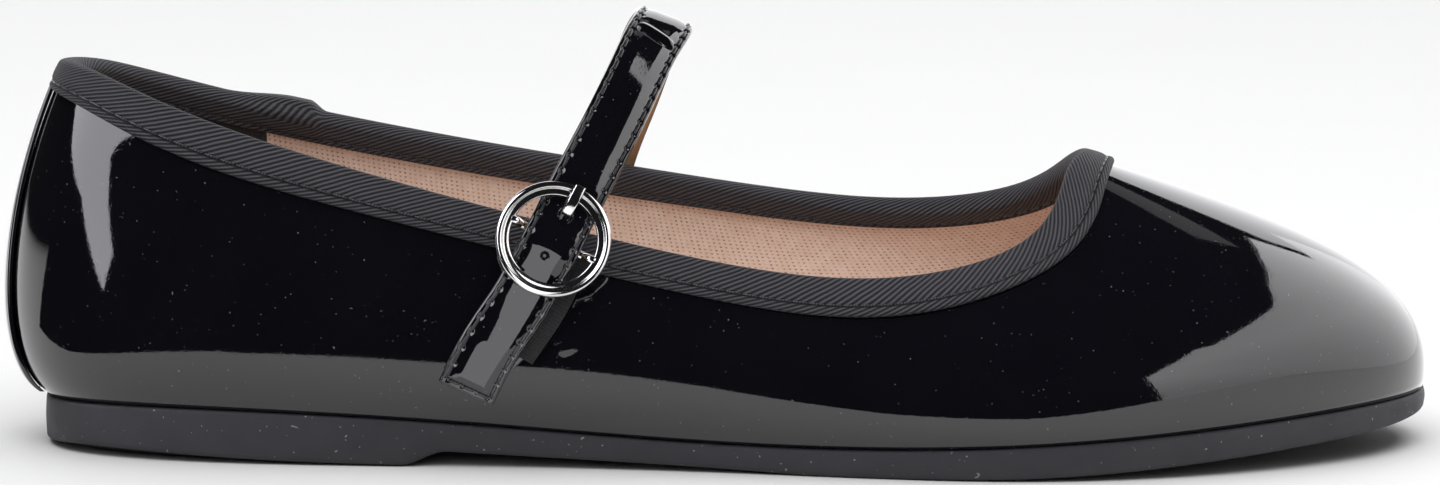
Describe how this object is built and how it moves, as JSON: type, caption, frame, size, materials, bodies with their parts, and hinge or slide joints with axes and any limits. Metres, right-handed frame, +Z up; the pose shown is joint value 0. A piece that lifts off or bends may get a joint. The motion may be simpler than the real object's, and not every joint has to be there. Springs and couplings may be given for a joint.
{
  "type": "mary jane shoe",
  "caption": "Right mary jane flat with a hollow lasted patent upper, ribbon-bound topline, instep strap, round buckle and low moulded heel.",
  "frame": {"origin": "on the floor, under the middle of the shoe's box", "axes": "+X from heel to toe, +Y towards the inner side of the foot, +Z up from the floor"},
  "size_m": [0.2518, 0.0828, 0.0772],
  "materials": {
    "patent": "black patent, mirror gloss with a faint orange peel",
    "ribbon": "black grosgrain ribbon with diagonal ribs, matt",
    "rubber": "charcoal rubber, matt, fine moulding grain",
    "sock": "beige knit lining, matt",
    "elastic": "black woven elastic, matt",
    "chrome": "polished nickel plate"
  },
  "bodies": {
    "root": {"outsole": "rubber", "insole": "sock", "upper": "patent", "topline_binding": "ribbon", "heel_strip": "patent", "strap": "patent", "elastic_tab": "elastic", "buckle_frame": "chrome", "buckle_prong": "chrome"}
  },
  "joints": []
}
